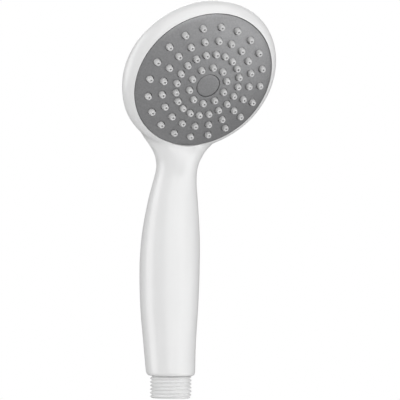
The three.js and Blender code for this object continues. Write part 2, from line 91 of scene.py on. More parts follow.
class HandsetSizes(bpy.types.PropertyGroup):
    """Sizes of the handset, in metres."""

    face_tilt: FloatProperty(
        name="Face tilt",
        description="How far down the spray points",
        default=math.radians(32.5),
        subtype="ANGLE",
    )
    face_back: FloatProperty(
        name="Face centre Y",
        description="Y of the middle of the spray face",
        default=-38.3 * MM,
        unit="LENGTH",
    )
    face_height: FloatProperty(
        name="Face centre Z",
        description="Z of the middle of the spray face",
        default=154.2 * MM,
        unit="LENGTH",
    )
    face_curve: FloatProperty(
        name="Face curve",
        description="Radius of the domed spray face",
        default=125 * MM,
        unit="LENGTH",
    )
    head_radius: FloatProperty(
        name="Head radius",
        description="Radius over the head's rim",
        default=40.8 * MM,
        unit="LENGTH",
    )
    mouth_radius: FloatProperty(
        name="Mouth radius",
        description="Radius of the opening for the spray face",
        default=36.5 * MM,
        unit="LENGTH",
    )
    plate_radius: FloatProperty(
        name="Plate radius",
        description="Radius of the grey spray face",
        default=36.25 * MM,
        unit="LENGTH",
    )
    cap_radius: FloatProperty(
        name="Cap radius",
        description="Radius of the cap over the screw",
        default=5.9 * MM,
        unit="LENGTH",
    )
    wall: FloatProperty(
        name="Wall",
        description="Wall of the moulding",
        default=2.6 * MM,
        unit="LENGTH",
    )
    voxel: FloatProperty(
        name="Skin grain",
        description="Mesh size of the handset's skin",
        default=0.55 * MM,
        unit="LENGTH",
    )


class NozzleSizes(bpy.types.PropertyGroup):
    """Sizes of the rub-clean nozzles, in metres."""

    root_radius: FloatProperty(
        name="Root radius",
        description="At the face",
        default=1.68 * MM,
        unit="LENGTH",
    )
    tip_radius: FloatProperty(
        name="Tip radius",
        description="At the tip",
        default=1.2 * MM,
        unit="LENGTH",
    )
    jet_radius: FloatProperty(
        name="Jet radius",
        description="Of the jet hole",
        default=0.46 * MM,
        unit="LENGTH",
    )
    proud: FloatProperty(
        name="Proud",
        description="How far they stand out",
        default=2.1 * MM,
        unit="LENGTH",
    )
    hole_radius: FloatProperty(
        name="Hole radius",
        description="Of the holes in the face",
        default=1.88 * MM,
        unit="LENGTH",
    )
    first_ring: FloatProperty(
        name="First ring",
        description="Its radius",
        default=9.85 * MM,
        unit="LENGTH",
    )
    second_ring: FloatProperty(
        name="Second ring",
        description="Its radius",
        default=16.7 * MM,
        unit="LENGTH",
    )
    ring_step: FloatProperty(
        name="Ring step",
        description="From ring to ring",
        default=6.75 * MM,
        unit="LENGTH",
    )
    in_first: IntProperty(
        name="In first ring",
        description="Nozzles in the first ring",
        default=10,
    )
    in_others: IntProperty(
        name="In other rings",
        description="Nozzles in each other ring",
        default=20,
    )


class InletSizes(bpy.types.PropertyGroup):
    """Sizes of the G1/2 inlet, in metres."""

    thread_radius: FloatProperty(
        name="Thread radius",
        description="Over the crests",
        default=10.45 * MM,
        unit="LENGTH",
    )
    thread_depth: FloatProperty(
        name="Thread depth",
        description="Crest to root",
        default=1.05 * MM,
        unit="LENGTH",
    )
    pitch: FloatProperty(
        name="Pitch",
        description="Crest to crest",
        default=1.814 * MM,
        unit="LENGTH",
    )
    thread_top: FloatProperty(
        name="Thread length",
        description="From the end face",
        default=11 * MM,
        unit="LENGTH",
    )
    mouth_radius: FloatProperty(
        name="Mouth radius",
        description="Of the inlet's bore",
        default=8.1 * MM,
        unit="LENGTH",
    )


class Finishes(bpy.types.PropertyGroup):
    """Colours of the finishes."""

    white: FloatVectorProperty(
        name="White",
        description="Body moulding",
        subtype="COLOR",
        size=3,
        default=(0.775, 0.775, 0.775),
    )
    grey: FloatVectorProperty(
        name="Grey",
        description="Spray face",
        subtype="COLOR",
        size=3,
        default=(0.29, 0.29, 0.295),
    )
    silicone: FloatVectorProperty(
        name="Silicone",
        description="Nozzles",
        subtype="COLOR",
        size=3,
        default=(0.6, 0.6, 0.6),
    )
    blue: FloatVectorProperty(
        name="Blue",
        description="Blue inner mouldings",
        subtype="COLOR",
        size=3,
        default=(0.06, 0.17, 0.4),
    )
    steel: FloatVectorProperty(
        name="Steel",
        description="Stainless steel",
        subtype="COLOR",
        size=3,
        default=(0.6, 0.6, 0.61),
    )


def sizes():
    return bpy.context.scene.shower_sizes


def nozzle_sizes():
    return bpy.context.scene.shower_nozzles


def inlet_sizes():
    return bpy.context.scene.shower_inlet


def finishes():
    return bpy.context.scene.shower_finishes


# ---- Modelling bench ----------------------------------------------------------------------


def deselect():
    active = bpy.context.view_layer.objects.active
    if active and active.mode != "OBJECT":
        bpy.ops.object.mode_set(mode="OBJECT")
    bpy.ops.object.select_all(action="DESELECT")


def pick(*pieces):
    """Selects these pieces only; the first is the active one."""
    deselect()
    for piece in pieces:
        piece.select_set(True)
    bpy.context.view_layer.objects.active = pieces[0]


def select_where(test):
    """In edit mode, selects the vertices whose place passes the test."""
    bpy.ops.mesh.select_mode(type="VERT")
    bpy.ops.mesh.select_all(action="DESELECT")
    mesh = bpy.context.edit_object.data
    form = bmesh.from_edit_mesh(mesh)
    for v in form.verts:
        v.select = test(v.co)
    form.select_flush(True)
    bmesh.update_edit_mesh(mesh)


def select_edges(test):
    """In edit mode, selects the edges that pass the test."""
    bpy.ops.mesh.select_mode(type="EDGE")
    bpy.ops.mesh.select_all(action="DESELECT")
    mesh = bpy.context.edit_object.data
    form = bmesh.from_edit_mesh(mesh)
    for edge in form.edges:
        edge.select = test(edge)
    bmesh.update_edit_mesh(mesh)


def edge_height(edge):
    return sum(v.co.z for v in edge.verts) / 2


def draw_up(name, rings, sides=96, poles=(False, False), around=False):
    """Draws a form ring by ring: each ring is its height, half width, half depth and shift in Y.
    A pole closes that end in a point, an open form closes flat, and one drawn around joins up."""
    deselect()
    z, a, b, y = rings[0]
    bpy.ops.mesh.primitive_circle_add(vertices=sides, radius=a, location=(0, 0, 0))
    piece = bpy.context.active_object
    piece.name = piece.data.name = name
    bpy.ops.object.mode_set(mode="EDIT")
    bpy.ops.mesh.select_all(action="SELECT")
    bpy.ops.transform.resize(value=(1, b / a, 1), center_override=(0, 0, 0))
    bpy.ops.transform.translate(value=(0, y, z))
    if not around and not poles[0]:
        bpy.ops.mesh.edge_face_add()
        bpy.ops.mesh.duplicate()
        bpy.ops.mesh.delete(type="ONLY_FACE")
        select_edges(lambda edge: edge.is_wire)
    for z2, a2, b2, y2 in rings[1:]:
        bpy.ops.mesh.extrude_region_move(TRANSFORM_OT_translate={"value": (0, y2 - y, z2 - z)})
        bpy.ops.transform.resize(value=(a2 / a, b2 / b, 1), center_override=(0, y2, z2))
        z, a, b, y = z2, a2, b2, y2
    if not around:
        if poles[1]:
            bpy.ops.mesh.merge(type="CENTER")
        else:
            bpy.ops.mesh.edge_face_add()
    if poles[0]:
        z0, a0, b0, y0 = rings[0]
        reach = max(a0, b0) * 1.5
        select_where(lambda co: abs(co.z - z0) < 1e-7 and math.hypot(co.x, co.y - y0) < reach)
        bpy.ops.mesh.merge(type="CENTER")
    bpy.ops.mesh.select_all(action="SELECT")
    bpy.ops.mesh.remove_doubles(threshold=1e-6)
    bpy.ops.mesh.normals_make_consistent(inside=False)
    bpy.ops.object.mode_set(mode="OBJECT")
    return piece


def chain(name, points):
    """A line of edges drawn from corner to corner."""
    deselect()
    bpy.ops.mesh.primitive_plane_add(size=MM)
    drawn = bpy.context.active_object
    drawn.name = drawn.data.name = name
    bpy.ops.object.mode_set(mode="EDIT")
    bpy.ops.mesh.select_mode(type="VERT")
    bpy.ops.mesh.select_all(action="SELECT")
    bpy.ops.mesh.merge(type="CENTER")
    bpy.ops.transform.translate(value=points[0])
    for a, b in zip(points, points[1:]):
        bpy.ops.mesh.extrude_region_move(TRANSFORM_OT_translate={"value": Vector(b) - Vector(a)})
    bpy.ops.object.mode_set(mode="OBJECT")
    return drawn


def turned(name, profile, sides=96, poles=(False, False), around=False):
    """A turned form from a profile of (radius, height) in millimetres."""
    rings = [(z * MM, r * MM, r * MM, 0) for r, z in profile]
    return draw_up(name, rings, sides, poles, around)


def settle(piece):
    """Puts a piece's place, turn and scale into its mesh."""
    pick(piece)
    bpy.ops.object.transform_apply(location=True, rotation=True, scale=True)


def place_in_head(piece):
    """Moves a piece made about +Z into the head, whose +Z is the way the spray leaves."""
    size = sizes()
    piece.rotation_euler = (math.pi / 2 + size.face_tilt, 0, 0)
    piece.location = (0, size.face_back, size.face_height)
    settle(piece)
    return piece


def apply_modifier(piece, kind, **settings):
    pick(piece)
    modifier = piece.modifiers.new(kind, kind)
    for key, value in settings.items():
        setattr(modifier, key, value)
    bpy.ops.object.modifier_apply(modifier=modifier.name)


def boolean(piece, tool, operation):
    apply_modifier(piece, "BOOLEAN", object=tool, operation=operation, solver="MANIFOLD")
    if not piece.data.polygons:
        raise RuntimeError(f"{operation} of {tool.name} left nothing of {piece.name}")
    bpy.data.objects.remove(tool)


def cut(piece, *tools):
    for tool in tools:
        boolean(piece, tool, "DIFFERENCE")


def copies_at(piece, places):
    """Copies of a piece, each with its own mesh, at each place; the piece itself goes."""
    made = []
    for place in places:
        copy = piece.copy()
        copy.data = piece.data.copy()
        bpy.context.scene.collection.objects.link(copy)
        copy.location = place
        made.append(copy)
    bpy.data.objects.remove(piece)
    return made


def join(name, pieces):
    pick(*pieces)
    bpy.ops.object.join()
    piece = bpy.context.active_object
    piece.name = piece.data.name = name
    settle(piece)
    return piece


def finish_piece(piece, node, body, finish, smooth):
    """Shades a finished piece, gives it its finish, and lets it stand for its CAD node."""
    pick(piece)
    bpy.ops.object.mode_set(mode="EDIT")
    bpy.ops.mesh.select_all(action="SELECT")
    bpy.ops.mesh.normals_make_consistent(inside=False)
    bpy.ops.object.mode_set(mode="OBJECT")
    bpy.ops.object.shade_smooth_by_angle(angle=math.radians(smooth))
    piece.data.materials.clear()
    piece.data.materials.append(bpy.data.materials[finish])
    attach(piece, body)
    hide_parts(node)


def between(a, b, c, d, t):
    """The value a share t of the way from b to c, on the smooth line a, b, c, d."""
    bend = 2 * a - 5 * b + 4 * c - d
    twist = 3 * b - a - 3 * c + d
    return 0.5 * (2 * b + (c - a) * t + bend * t * t + twist * t**3)


def through(points, count):
    """Points on a smooth line through stations, each a tuple of numbers."""
    before = tuple(2 * p - q for p, q in zip(points[0], points[1]))
    after = tuple(2 * p - q for p, q in zip(points[-1], points[-2]))
    line = [before, *points, after]
    out = []
    for i in range(count + 1):
        at = i * (len(points) - 1) / count
        k = min(int(at), len(points) - 2)
        t = at - k
        out.append(tuple(between(a, b, c, d, t) for a, b, c, d in zip(*line[k : k + 4])))
    return out


def bowed(corners, count):
    """Points on the curve that four corners pull on."""
    points = []
    for i in range(count + 1):
        t = i / count
        weights = ((1 - t) ** 3, 3 * (1 - t) ** 2 * t, 3 * (1 - t) * t * t, t**3)
        points.append(tuple(sum(w * p[k] for w, p in zip(weights, corners)) for k in (0, 1)))
    return points


def arc(cx, cz, r, start, stop, count):
    """(radius, height) points on an arc, angles in degrees from the radius's own direction."""
    angles = [math.radians(start + (stop - start) * i / count) for i in range(count + 1)]
    return [(cx + r * math.cos(a), cz + r * math.sin(a)) for a in angles]


# ---- Finishes -----------------------------------------------------------------------------


SINK_SCALE = 45  # slow ripples of the moulding
GLOSS_SCALE = 140  # patches of more and less gloss
GRAIN_SCALE = 2600  # fine satin grain


def new_material(name):
    """A material with its Principled shader, and object coordinates to drive its detail."""
    material = bpy.data.materials.new(name)
    material.use_nodes = True
    nodes, links = material.node_tree.nodes, material.node_tree.links
    shader = nodes["Principled BSDF"]
    place = nodes.new("ShaderNodeTexCoord")
    return material, nodes, links, shader, place


def noise(nodes, links, place, scale, detail=2.0, stretch=(1, 1, 1)):
    mapping = nodes.new("ShaderNodeMapping")
    mapping.inputs["Scale"].default_value = stretch
    links.new(place.outputs["Object"], mapping.inputs["Vector"])
    texture = nodes.new("ShaderNodeTexNoise")
    texture.inputs["Scale"].default_value = scale
    texture.inputs["Detail"].default_value = detail
    links.new(mapping.outputs["Vector"], texture.inputs["Vector"])
    return texture


def ranged(nodes, links, source, low, high):
    span = nodes.new("ShaderNodeMapRange")
    span.inputs["To Min"].default_value = low
    span.inputs["To Max"].default_value = high
    span.interpolation_type = "SMOOTHSTEP"
    span.inputs["From Min"].default_value = 0.1
    span.inputs["From Max"].default_value = 0.9
    links.new(source.outputs["Fac"], span.inputs["Value"])
    return span.outputs["Result"]


def tinted(nodes, links, source, colour, spread):
    """A colour that wanders by a small share either way."""
    ramp = nodes.new("ShaderNodeValToRGB")
    ramp.color_ramp.interpolation = "EASE"
    ramp.color_ramp.elements[0].position = 0.1
    ramp.color_ramp.elements[1].position = 0.9
    ramp.color_ramp.elements[0].color = [c * (1 - spread) for c in colour] + [1]
    ramp.color_ramp.elements[1].color = [min(1, c * (1 + spread)) for c in colour] + [1]
    links.new(source.outputs["Fac"], ramp.inputs["Fac"])
    return ramp.outputs["Color"]


def bumped(nodes, links, shader, layers):
    """Stacks bumps: each layer is a texture, its strength and its height in metres."""
    normal = None
    for texture, strength, height in layers:
        bump = nodes.new("ShaderNodeBump")
        bump.inputs["Strength"].default_value = strength
        bump.inputs["Distance"].default_value = height
        links.new(texture.outputs[0], bump.inputs["Height"])
        if normal:
            links.new(normal, bump.inputs["Normal"])
        normal = bump.outputs["Normal"]
    links.new(normal, shader.inputs["Normal"])


def moulded(
    name,
    colour,
    roughness,
    spread=0.015,
    grain=0.0,
    ripple=0.04,
    coat=0.0,
    subsurface=0.0,
    mottle=60,
    metal=0.0,
):
    """Moulded plastic: faint colour drift, uneven gloss, slow sink ripple and optional fine grain."""
    material, nodes, links, shader, place = new_material(name)
    drift = noise(nodes, links, place, mottle, 3)
    links.new(tinted(nodes, links, drift, colour, spread), shader.inputs["Base Color"])
    gloss = noise(nodes, links, place, GLOSS_SCALE, 4)
    links.new(ranged(nodes, links, gloss, roughness * 0.9, roughness * 1.12), shader.inputs["Roughness"])
    layers = [(noise(nodes, links, place, SINK_SCALE, 1), ripple, 0.3 * MM)]
    if grain:
        layers.append((noise(nodes, links, place, GRAIN_SCALE, 5), grain, 0.05 * MM))
    bumped(nodes, links, shader, layers)
    shader.inputs["IOR"].default_value = 1.53
    shader.inputs["Metallic"].default_value = metal
    if coat:
        shader.inputs["Coat Weight"].default_value = coat
        shader.inputs["Coat Roughness"].default_value = 0.22
    if subsurface:
        shader.inputs["Subsurface Weight"].default_value = subsurface
        shader.inputs["Subsurface Radius"].default_value = (1, 1, 1)
        shader.inputs["Subsurface Scale"].default_value = 0.8 * MM
    return material


def silicone_finish():
    """Pale silicone, a little see-through, with a soft waxy gloss."""
    material = moulded(
        "pale_silicone",
        finishes().silicone,
        0.42,
        spread=0.03,
        grain=0.08,
        ripple=0.02,
        subsurface=0.12,
        mottle=300,
    )
    shader = material.node_tree.nodes["Principled BSDF"]
    shader.inputs["IOR"].default_value = 1.41
    return material


def rubber_finish():
    """Matt black seal rubber."""
    black = (0.018, 0.018, 0.018)
    return moulded("black_seal_rubber", black, 0.6, spread=0.2, grain=0.2, ripple=0.02, mottle=400)


def grey_finish(name, shade):
    """Satin metallic grey paint with a fine fleck."""
    colour = [c * shade for c in finishes().grey]
    return moulded(name, colour, 0.48, spread=0.11, grain=0.45, ripple=0.03, mottle=1100, metal=0.9)


def steel_finish():
    """Stainless steel with fine drawn lines."""
    material, nodes, links, shader, place = new_material("stainless_steel")
    lines = noise(nodes, links, place, 900, 4, stretch=(1, 1, 8))
    links.new(tinted(nodes, links, lines, finishes().steel, 0.08), shader.inputs["Base Color"])
    links.new(ranged(nodes, links, lines, 0.22, 0.36), shader.inputs["Roughness"])
    bumped(nodes, links, shader, [(lines, 0.12, 0.02 * MM)])
    shader.inputs["Metallic"].default_value = 1.0
    return material


# ---- Handset body -------------------------------------------------------------------------

# Stations up the handle, the spine behind the head and the water passage, in millimetres:
# height, half width, half depth, and how far back.
HANDLE = [
    (13, 12.38, 12.38, 0.45),
    (28, 13.35, 13.0, 1.9),
    (46, 14.8, 13.9, 2.7),
    (66, 15.4, 14.3, 2.7),
    (82, 14.85, 13.6, 1.8),
    (98, 13.0, 11.6, -0.1),
    (110, 11.1, 9.9, -2.5),
    (117, 10.9, 9.3, -5.0),
    (124, 14.3, 8.9, -6.4),
    (130, 20.8, 6.6, -6.8),
    (134, 24.4, 4.4, -8.8),
    (139, 25, 2.4, -11.4),
]
SPINE = [
    (112, 9.6, 9.2, -3.1),
    (120, 10.5, 9.6, -4.9),
    (127, 12.6, 9.2, -5.2),
    (134, 16, 10, -7.6),
    (142, 19, 10.5, -11.2),
    (151, 20, 10, -15.4),
    (160, 18, 8, -19),
    (168, 14, 6, -23.2),
    (176, 8, 4, -28.2),
]
PASSAGE = [
    (112, 3.4, 3.4, -3.9),
    (124, 3.4, 3.4, -4.1),
    (130, 3.4, 3.4, -4.6),
    (134, 3.4, 4.0, -6.4),
    (139, 3.4, 4.0, -11),
]
FOOT = [(11.2, 9.6), (11.2, 10.6), (11.28, 11.2), (11.6, 11.75), (12.2, 12.15)]  # height, radius
FOOT_LEAN = 0.25  # how far back the foot's rings move for each millimetre up
HOLLOW_FROM, HOLLOW_TO = 40, 105  # the handle's hollow lies between these heights
SOCKET = [(9.8, 0), (9.8, 39.3), (8.6, 39.3), (8.6, 52)]  # radius, height; for the inlet
SEAT = [(7.5, 66), (7.5, 83), (6.3, 83), (6.3, 89.2)]  # radius, height; for the water tube
SEAT_TILT = 2.6  # degrees from upright, towards the spray
SEAT_RISE = 30.6  # height of the point that the seat tilts about
# In the head's own frame, in millimetres, heights along the way the spray leaves.
FRONT_Z = -5.5
LIP_Z = -6.1
LIP_INSET = 2.4  # from the head's edge to the lip's turn
LIP_OVERLAP = 0.4  # how far the lip lies inside the mouth before the mouth is cut
SHOULDER_Z = -8.6
RIM_Z = -11.3
RIM_ROUND = 4
RIM_TURN = 62
BACK_Z = -24.7
BACK_CURVE = 82.4
LEDGE_Z = -13.2
LEDGE_R = 34.4
POLE = 0.05  # radius at which a turned form closes
CLEAR = 12  # how far a cutter reaches past the front
# Where the neck and the back are softened, in millimetres, and how many times.
NECK_MIDDLE = Vector((0, -8, 131))
NECK_REACH, NECK_FADE = 38, 14
SPINE_MIDDLE = Vector((0, -8, 146))
SPINE_REACH, SPINE_FADE = 50, 18
RIM_GUARD_Z, RIM_GUARD_FADE = -10.5, 4  # the back's softening starts behind this depth in the head
BACK_PASSES, NECK_PASSES, SKIN_PASSES = 220, 60, 10


def loft(name, stations, count, inset=0.0, sides=96, foot=()):
    """A form through stations up its height; a foot of turned rings may come first."""
    rings = [(z * MM, r * MM, r * MM, FOOT_LEAN * (z - foot[0][0]) * MM) for z, r in foot]
    for z, a, b, y in through(stations, count):
        rings.append((z * MM, (a - inset) * MM, (b - inset) * MM, y * MM))
    return draw_up(name, rings, sides)


def head_solid():
    """The head as one turned solid, from the middle of its front to the middle of its back."""
    edge = sizes().head_radius / MM
    mouth = sizes().mouth_radius / MM - LIP_OVERLAP
    lip = bowed([(mouth, FRONT_Z), (edge - LIP_INSET, LIP_Z), (edge, SHOULDER_Z), (edge, RIM_Z)], 24)
    rim = arc(edge - RIM_ROUND, RIM_Z, RIM_ROUND, 0, -RIM_TURN, 16)[1:]
    slope = math.degrees(math.asin(rim[-1][0] / BACK_CURVE))
    back = arc(0, BACK_Z + BACK_CURVE, BACK_CURVE, -90 + slope, -90.0, 60)[1:-1]
    front = [(r, FRONT_Z) for r in (POLE, 6, 12, 18, 24, 30)]
    return turned("head", [*front, *lip, *rim, *back, (POLE, BACK_Z)], 192, (True, True))


def head_chamber():
    """What the head's hollow takes out: the seat for the face and the water chamber behind it."""
    mouth = sizes().mouth_radius / MM
    inner = BACK_CURVE - sizes().wall / MM
    slope = math.degrees(math.asin(LEDGE_R / inner))
    back = arc(0, BACK_Z + BACK_CURVE, inner, -90 + slope, -90.0, 24)[:-1]
    seat = [(mouth, CLEAR), (mouth, LEDGE_Z), (LEDGE_R, LEDGE_Z)]
    profile = [*seat, *back, (POLE, BACK_Z + sizes().wall / MM)]
    return place_in_head(turned("chamber", profile, 192, (False, True)))


def soft_group(piece, name, weigh):
    """A vertex group whose weight eases in from a measure that runs from 0 to 1."""
    group = piece.vertex_groups.new(name=name)
    for v in piece.data.vertices:
        weight = max(0.0, min(1.0, weigh(v.co / MM)))
        if weight:
            group.add([v.index], weight * weight * (3 - 2 * weight), "REPLACE")


def ease_neck(piece):
    """Runs the neck, the spine and the head into each other with one soft sweep."""
    tilt = sizes().face_tilt
    centre = Vector((0, sizes().face_back, sizes().face_height)) / MM
    spray = Vector((0, -math.cos(tilt), -math.sin(tilt)))

    def near_neck(co):
        return (NECK_REACH - (co - NECK_MIDDLE).length) / NECK_FADE

    def behind_rim(co):
        depth = (RIM_GUARD_Z - (co - centre).dot(spray)) / RIM_GUARD_FADE
        return min(depth, (SPINE_REACH - (co - SPINE_MIDDLE).length) / SPINE_FADE)

    soft_group(piece, "neck", near_neck)
    soft_group(piece, "back", behind_rim)
    apply_modifier(piece, "SMOOTH", vertex_group="back", factor=0.5, iterations=BACK_PASSES)
    apply_modifier(piece, "SMOOTH", vertex_group="neck", factor=0.5, iterations=NECK_PASSES)
    apply_modifier(piece, "SMOOTH", factor=0.5, iterations=SKIN_PASSES)
    piece.vertex_groups.clear()


class SHOWER_OT_handset_body(bpy.types.Operator):
    """Model the white handle, neck and head as one moulding"""

    bl_idname = "shower.handset_body"
    bl_label = "Handset body"

    def execute(self, context):
        head = place_in_head(head_solid())
        handle = loft("handle", HANDLE, 88, sides=112, foot=FOOT)
        spine = loft("spine", SPINE, 40, sides=96)
        body = join("white_handset_body", [head, handle, spine])
        apply_modifier(body, "REMESH", mode="VOXEL", voxel_size=sizes().voxel, adaptivity=0)
        ease_neck(body)
        inside = [s for s in HANDLE if HOLLOW_FROM < s[0] < HOLLOW_TO]
        hollow = loft("hollow", inside, 20, sizes().wall / MM, 48)
        socket = turned("socket", SOCKET, 96)
        seat = turned("seat", SEAT, 48)
        seat.rotation_euler = (math.radians(SEAT_TILT), 0, 0)
        seat.location = (0, 0, SEAT_RISE * MM)
        settle(seat)
        passage = loft("passage", PASSAGE, 16, sides=48)
        cut(body, head_chamber(), socket, hollow, seat, passage)
        finish_piece(body, "handset_body", FIXED, "glossy_white_abs", 35)
        return {"FINISHED"}


# ---- Spray face ---------------------------------------------------------------------------


# Millimetres; each height is along the way the spray leaves, from the middle of the face.
PLATE_THICK = 2
PLATE_ROUND = 0.45
HOLE_FLARE = 0.12
HUB_R, HUB_Z = 7.2, -5.6  # boss behind the middle of the face
SCREW_R = 2.2  # hole for the screw
SCREW_WELL_R, SCREW_WELL_Z = 4.1, -4.3  # well for its head and washer
CAP_SEAT_Z = -1.9
CAP_GAP = 0.26
CAP_ROUND = 0.25
MAT_RADII = (7.5, 13, 20, 27, 33.4)  # the mat's sheet runs over these, behind the face
MAT_TOP, MAT_UNDER = 2.3, 3.7  # how far the sheet lies behind the face
MAT_ROOT_Z = -3  # the nozzles start inside the sheet


def dome(r, drop=0.0):
    """Height of the domed face at a radius, less a drop, all in millimetres."""
    curve = sizes().face_curve / MM
    return math.sqrt(curve * curve - r * r) - curve - drop


def nozzle_places():
    """Every nozzle's place on the face in millimetres; each ring has one towards the handle."""
    n = nozzle_sizes()
    rings = [(n.first_ring, n.in_first)]
    rings += [(n.second_ring + k * n.ring_step, n.in_others) for k in range(3)]
    places = []
    for r, count in rings:
        for i in range(count):
            a = -math.pi / 2 + 2 * math.pi * i / count
            places.append((r / MM * math.cos(a), r / MM * math.sin(a), dome(r / MM)))
    return places


class SHOWER_OT_face_plate(bpy.types.Operator):
    """Model the grey domed spray face with its nozzle holes"""

    bl_idname = "shower.face_plate"
    bl_label = "Spray face"

    def execute(self, context):
        edge = sizes().plate_radius / MM
        radii = [POLE] + [edge * (i + 1) / 42 for i in range(41)]
        top = [(r, dome(r)) for r in radii if r < edge - PLATE_ROUND - 0.3]
        corner = arc(edge - PLATE_ROUND, dome(edge) - PLATE_ROUND, PLATE_ROUND, 80, 0, 6)
        under = [(r, dome(r, PLATE_THICK)) for r in (edge, 34, 30, 24, 18, 12, HUB_R + 0.05)]
        hub = [(HUB_R, HUB_Z), (POLE, HUB_Z)]
        plate = turned("grey_face_plate", [*top, *corner, *under, *hub], 240, (True, True))
        hole = nozzle_sizes().hole_radius / MM
        flared = hole + HOLE_FLARE
        drill = turned("drill", [(hole, -4), (hole, -0.25), (flared, 0.02), (flared, 2)], 28)
        drills = join("drills", copies_at(drill, [Vector(p) * MM for p in nozzle_places()]))
        around_cap = sizes().cap_radius / MM + CAP_GAP
        well = [(SCREW_R, -8), (SCREW_R, SCREW_WELL_Z), (SCREW_WELL_R, SCREW_WELL_Z)]
        well += [(SCREW_WELL_R, CAP_SEAT_Z), (around_cap, CAP_SEAT_Z), (around_cap, 2)]
        recess = turned("recess", well, 96)
        cut(plate, drills, recess)
        place_in_head(plate)
        finish_piece(plate, "face_plate", FIXED, "satin_grey_face", 32)
        return {"FINISHED"}


class SHOWER_OT_nozzle_mat(bpy.types.Operator):
    """Model the silicone mat whose nozzles stand through the face"""

    bl_idname = "shower.nozzle_mat"
    bl_label = "Nozzles"

    def execute(self, context):
        n = nozzle_sizes()
        root, tip, jet, proud = (v / MM for v in (n.root_radius, n.tip_radius, n.jet_radius, n.proud))
        flank = [(root, MAT_ROOT_Z), (root, 0), (root - 0.1, proud * 0.3), (root - 0.24, proud * 0.6)]
        crown = [(tip + 0.14, proud * 0.82), (tip, proud * 0.93), (tip - 0.16, proud)]
        crown += [(jet + 0.28, proud), (jet + 0.08, proud - 0.08)]
        inside = [(jet, proud - 0.3), (jet * 0.9, 0), (jet * 0.9, MAT_ROOT_Z)]
        nozzle = turned("nozzle", flank + crown + inside, 20, around=True)
        pick(nozzle)
        bpy.ops.object.mode_set(mode="EDIT")
        select_where(lambda co: abs(co.z - MAT_ROOT_Z * MM) < 1e-7)
        bpy.ops.mesh.bridge_edge_loops()
        bpy.ops.mesh.select_all(action="SELECT")
        bpy.ops.mesh.normals_make_consistent(inside=False)
        bpy.ops.object.mode_set(mode="OBJECT")
        nozzles = copies_at(nozzle, [Vector(p) * MM for p in nozzle_places()])
        top = [(r, dome(r, MAT_TOP)) for r in MAT_RADII]
        under = [(r, dome(r, MAT_UNDER)) for r in reversed(MAT_RADII)]
        sheet = turned("sheet", [*top, *under, top[0]], 96, around=True)
        mat = join("silicone_nozzle_mat", [sheet, *nozzles])
        place_in_head(mat)
        finish_piece(mat, "nozzle_mat", FIXED, "pale_silicone", 50)
        return {"FINISHED"}


class SHOWER_OT_screw_cap(bpy.types.Operator):
    """Model the small cap over the screw in the middle of the face"""

    bl_idname = "shower.screw_cap"
    bl_label = "Screw cap"

    def execute(self, context):
        r = sizes().cap_radius / MM
        crown = [(q, dome(q)) for q in (POLE, 1.5, 3, 4.5, r - 0.3)]
        corner = arc(r - CAP_ROUND, dome(r) - CAP_ROUND, CAP_ROUND, 75, 0, 5)
        under = [(r, -1.5), (4, -1.5), (4, -1.8), (3.2, -1.8), (3.2, -1.4), (POLE, -1.4)]
        cap = place_in_head(turned("grey_screw_cap", [*crown, *corner, *under], 96, (True, True)))
        finish_piece(cap, "screw_cap", FIXED, "satin_grey_cap", 32)
        return {"FINISHED"}


# ---- Inlet --------------------------------------------------------------------------------


THREAD_TURNS = 9
THREAD_START = 1.5  # pitches below the end face
ROOT_ROUND, CREST_ROUND = 0.12, 0.14
# Radius and height, in millimetres, of the inlet's shaft and of its stepped bore.
SHAFT_R, SHAFT_TOP = 9.5, 39
STEPS = [(7.75, 3), (7.75, 12), (7.4, 12), (7.4, 28), (5, 28), (5, 31)]
STEPS += [(6.3, 31), (6.3, 37), (8, 37), (8, 41)]
MOUTH_CHAMFER = 0.35
GROOVE_LEVELS = (32, 36)
GROOVE_R, GROOVE_HALF = 8.1, 1


def thread_blank(root, crest, top):
    """The turned form that trims the thread: its ends run out in a chamfer."""
    outline = [(root - 0.15, 0), (root + 0.1, 0.12), (crest + 0.1, 0.95)]
    outline += [(crest + 0.1, top - 0.3), (root + 0.4, top), (root, top)]
    return turned("blank", outline, 96)


def inlet_shaft(root, top):
    """The plain shaft above the thread, which goes up into the handle."""
    outline = [(root, top - 0.6), (root, top + 0.1), (SHAFT_R, top + 0.1)]
    outline += [(SHAFT_R, SHAFT_TOP - 0.3), (SHAFT_R - 0.3, SHAFT_TOP)]
    return turned("shaft", outline, 96)


def inlet_bore(mouth):
    """The stepped waterway through the inlet, with a chamfered mouth."""
    wide = mouth + MOUTH_CHAMFER
    outline = [(wide, -0.5), (wide, 0), (mouth, MOUTH_CHAMFER), (mouth, STEPS[0][1]), *STEPS]
    return turned("bore", outline, 96)


def seal_groove(level):
    low, high = level - GROOVE_HALF, level + GROOVE_HALF
    outline = [(GROOVE_R, low), (GROOVE_R, high), (12, high), (12, low), (GROOVE_R, low)]
    return turned("groove", outline, 64, around=True)


